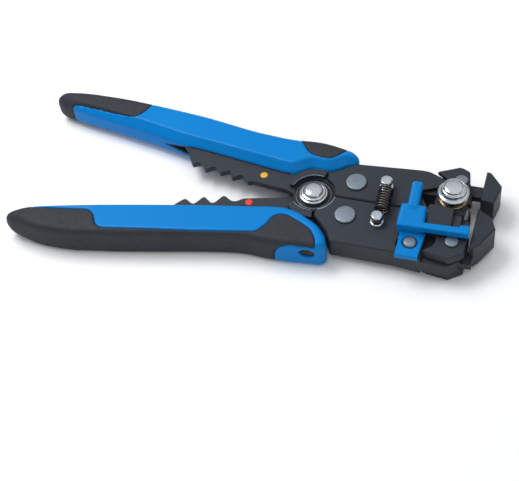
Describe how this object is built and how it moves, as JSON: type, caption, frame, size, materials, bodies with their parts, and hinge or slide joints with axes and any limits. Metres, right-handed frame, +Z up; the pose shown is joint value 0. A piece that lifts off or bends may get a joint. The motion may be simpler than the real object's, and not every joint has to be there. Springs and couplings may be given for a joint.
{
  "type": "self-adjusting wire stripper",
  "caption": "Hand tool with two sprung handles, gripping jaws, stripping blades, a length stop, a wire cutter and crimping teeth.",
  "frame": {"origin": "centre of the overall box at its lowest face, the surface the tool lies on", "axes": "+X along the tool towards the jaws, +Y from the lower handle towards the upper handle, +Z up from the surface the tool lies on, along every pivot axis"},
  "size_m": [0.2126, 0.0824, 0.0269],
  "materials": {
    "dark_steel": "blackened satin steel plate",
    "satin_steel": "satin rivet",
    "chrome": "polished",
    "blue_plastic": "semi-gloss moulded",
    "black_grip": "matt soft grip",
    "brass": "bright",
    "blade_steel": "ground"
  },
  "bodies": {
    "lower_handle": {"lower_handle_core": "dark_steel", "lower_handle_cover": "blue_plastic", "lower_handle_grip": "black_grip", "main_pivot_rivet": "chrome", "lower_link_rivet": "satin_steel"},
    "upper_handle": {"upper_handle_core": "dark_steel", "upper_handle_cover": "blue_plastic", "upper_rear_grip": "black_grip", "upper_front_grip": "black_grip", "upper_link_rivet": "satin_steel"},
    "lower_lever": {"lower_jaw_lever": "dark_steel", "jaw_pivot_pin": "satin_steel", "lower_spring_post": "chrome", "lower_gripping_jaw": "dark_steel", "lower_blade_rivet": "satin_steel", "tension_block": "dark_steel", "knob_washer": "brass", "return_spring": "dark_steel"},
    "upper_lever": {"upper_jaw_lever": "dark_steel", "upper_spring_post": "chrome", "upper_gripping_jaw": "dark_steel", "upper_blade_rivet": "satin_steel"},
    "lower_blade_carrier": {"lower_blade_holder_near": "dark_steel", "lower_blade_holder_far": "dark_steel", "lower_stripping_blade": "blade_steel"},
    "upper_blade_carrier": {"upper_blade_holder_near": "dark_steel", "upper_blade_holder_far": "dark_steel", "upper_stripping_blade": "blade_steel"},
    "tension_knob_body": {"tension_knob": "chrome"},
    "length_stop_body": {"length_stop": "blue_plastic", "length_stop_screw": "satin_steel"}
  },
  "joints": [
    {"name": "main_pivot", "type": "hinge", "parent": "lower_handle", "child": "upper_handle", "pos_m": [0.02735, 0.00396, 0.009], "axis": [0, 0, 1], "range_deg": [0, 20], "stiffness_Nm_per_rad": 0.6, "springref_deg": -22.92},
    {"name": "lower_lever_pivot", "type": "hinge", "parent": "lower_handle", "child": "lower_lever", "pos_m": [0.04375, -0.00574, 0.0075], "axis": [0, 0, 1], "range_deg": [0, 16.05]},
    {"name": "jaw_pivot", "type": "hinge", "parent": "lower_lever", "child": "upper_lever", "pos_m": [0.07235, 0.00196, 0.0075], "axis": [0, 0, 1], "range_deg": [-11.25, 0], "deforming": ["return_spring"]},
    {"name": "lower_blade_pivot", "type": "hinge", "parent": "lower_lever", "child": "lower_blade_carrier", "pos_m": [0.09015, -0.01234, 0.0075], "axis": [0, 0, 1], "range_deg": [0, 10]},
    {"name": "upper_blade_pivot", "type": "hinge", "parent": "upper_lever", "child": "upper_blade_carrier", "pos_m": [0.08775, 0.02226, 0.0075], "axis": [0, 0, 1], "range_deg": [-10, 0]},
    {"name": "stop_slide", "type": "slide", "parent": "lower_lever", "child": "length_stop_body", "axis": [1, 0, 0], "range_m": [-0.0035, 0]},
    {"name": "knob_turn", "type": "hinge", "parent": "lower_lever", "child": "tension_knob_body", "pos_m": [0.08695, 0.00766, 0.02], "axis": [0, 0, 1], "continuous": true}
  ],
  "couplings": [
    {"joint": "lower_lever_pivot", "follows": "main_pivot", "ratio": 0.8025},
    {"joint": "jaw_pivot", "follows": "main_pivot", "ratio": -0.5625},
    {"joint": "lower_blade_pivot", "follows": "main_pivot", "ratio": 0.5},
    {"joint": "upper_blade_pivot", "follows": "main_pivot", "ratio": -0.5}
  ]
}
